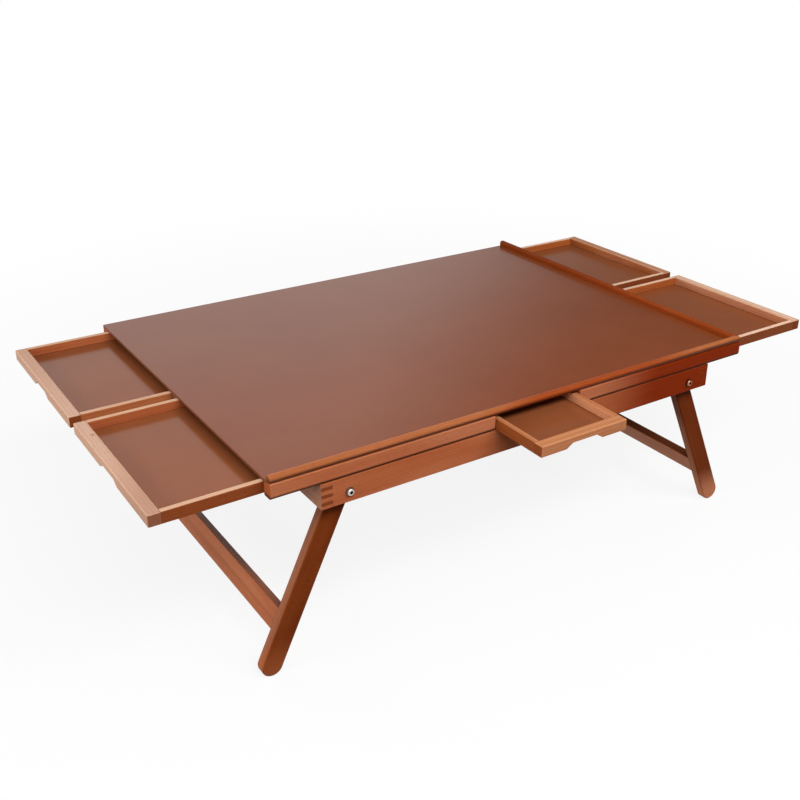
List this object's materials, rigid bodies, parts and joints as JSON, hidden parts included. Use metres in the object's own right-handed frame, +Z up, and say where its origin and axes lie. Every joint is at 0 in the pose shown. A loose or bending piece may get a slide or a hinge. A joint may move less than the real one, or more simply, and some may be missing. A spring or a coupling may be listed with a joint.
{
  "type": "jigsaw puzzle table with drawers",
  "caption": "Low folding jigsaw puzzle table: rimmed work board, flat sorting drawers that slide out on every side, finger-jointed aprons and splayed leg frames that fold up inside.",
  "frame": {"origin": "middle of the footprint with the drawers as stored, on the floor", "axes": "+X along the table's length towards its right rim, +Y from the front to the back, +Z up"},
  "size_m": [1.089, 0.6789, 0.295],
  "materials": {
    "board_face": "smooth satin",
    "rim_wood": "satin lacquer",
    "frame_wood": "satin lacquer",
    "inner_wood": "plain",
    "leg_wood": "satin lacquer",
    "drawer_front_wood": "satin lacquer",
    "drawer_side_wood": "satin lacquer",
    "drawer_board": "smooth satin",
    "zinc_steel": "zinc plated"
  },
  "bodies": {
    "table_frame": {"top_board": "board_face", "front_rim": "rim_wood", "right_rim": "rim_wood", "front_rail_left": "frame_wood", "front_rail_right": "frame_wood", "back_rail_left": "frame_wood", "back_rail_right": "frame_wood", "left_divider": "inner_wood", "right_divider": "inner_wood", "left_cross_rail": "inner_wood", "right_cross_rail": "inner_wood", "centre_rail": "inner_wood", "drawer_ledges": "inner_wood", "small_drawer_runners": "inner_wood", "front_apron": "frame_wood", "back_apron": "frame_wood", "left_apron": "frame_wood", "right_apron": "frame_wood", "pivot_bolts": "zinc_steel", "pivot_washers": "zinc_steel", "pivot_nuts": "zinc_steel"},
    "left_leg_frame": {"left_front_leg": "leg_wood", "left_back_leg": "leg_wood", "left_stretcher": "leg_wood"},
    "right_leg_frame": {"right_front_leg": "leg_wood", "right_back_leg": "leg_wood", "right_stretcher": "leg_wood"},
    "left_front_drawer": {"left_front_drawer_front": "drawer_front_wood", "left_front_drawer_left_side": "drawer_side_wood", "left_front_drawer_right_side": "drawer_side_wood", "left_front_drawer_back": "drawer_side_wood", "left_front_drawer_bottom": "drawer_board"},
    "left_back_drawer": {"left_back_drawer_front": "drawer_front_wood", "left_back_drawer_left_side": "drawer_side_wood", "left_back_drawer_right_side": "drawer_side_wood", "left_back_drawer_back": "drawer_side_wood", "left_back_drawer_bottom": "drawer_board"},
    "right_front_drawer": {"right_front_drawer_front": "drawer_front_wood", "right_front_drawer_left_side": "drawer_side_wood", "right_front_drawer_right_side": "drawer_side_wood", "right_front_drawer_back": "drawer_side_wood", "right_front_drawer_bottom": "drawer_board"},
    "right_back_drawer": {"right_back_drawer_front": "drawer_front_wood", "right_back_drawer_left_side": "drawer_side_wood", "right_back_drawer_right_side": "drawer_side_wood", "right_back_drawer_back": "drawer_side_wood", "right_back_drawer_bottom": "drawer_board"},
    "front_drawer": {"front_drawer_front": "drawer_front_wood", "front_drawer_left_side": "drawer_side_wood", "front_drawer_right_side": "drawer_side_wood", "front_drawer_back": "drawer_side_wood", "front_drawer_bottom": "drawer_board"},
    "back_drawer": {"back_drawer_front": "drawer_front_wood", "back_drawer_left_side": "drawer_side_wood", "back_drawer_right_side": "drawer_side_wood", "back_drawer_back": "drawer_side_wood", "back_drawer_bottom": "drawer_board"}
  },
  "joints": [
    {"name": "left_front_drawer_slide", "type": "slide", "parent": "table_frame", "child": "left_front_drawer", "axis": [-1, 0, 0], "range_m": [-0.138, 0.102]},
    {"name": "left_back_drawer_slide", "type": "slide", "parent": "table_frame", "child": "left_back_drawer", "axis": [-1, 0, 0], "range_m": [-0.138, 0.102]},
    {"name": "right_front_drawer_slide", "type": "slide", "parent": "table_frame", "child": "right_front_drawer", "axis": [1, 0, 0], "range_m": [-0.164, 0.076]},
    {"name": "right_back_drawer_slide", "type": "slide", "parent": "table_frame", "child": "right_back_drawer", "axis": [1, 0, 0], "range_m": [-0.164, 0.076]},
    {"name": "front_drawer_slide", "type": "slide", "parent": "table_frame", "child": "front_drawer", "axis": [0, -1, 0], "range_m": [-0.092, 0.123]},
    {"name": "back_drawer_slide", "type": "slide", "parent": "table_frame", "child": "back_drawer", "axis": [0, 1, 0], "range_m": [0, 0.215]},
    {"name": "left_leg_fold", "type": "hinge", "parent": "table_frame", "child": "left_leg_frame", "pos_m": [-0.30254, 0, 0.2432], "axis": [0, -1, 0], "range_deg": [0, 115]},
    {"name": "right_leg_fold", "type": "hinge", "parent": "table_frame", "child": "right_leg_frame", "pos_m": [0.27654, 0, 0.2432], "axis": [0, 1, 0], "range_deg": [0, 115]}
  ]
}
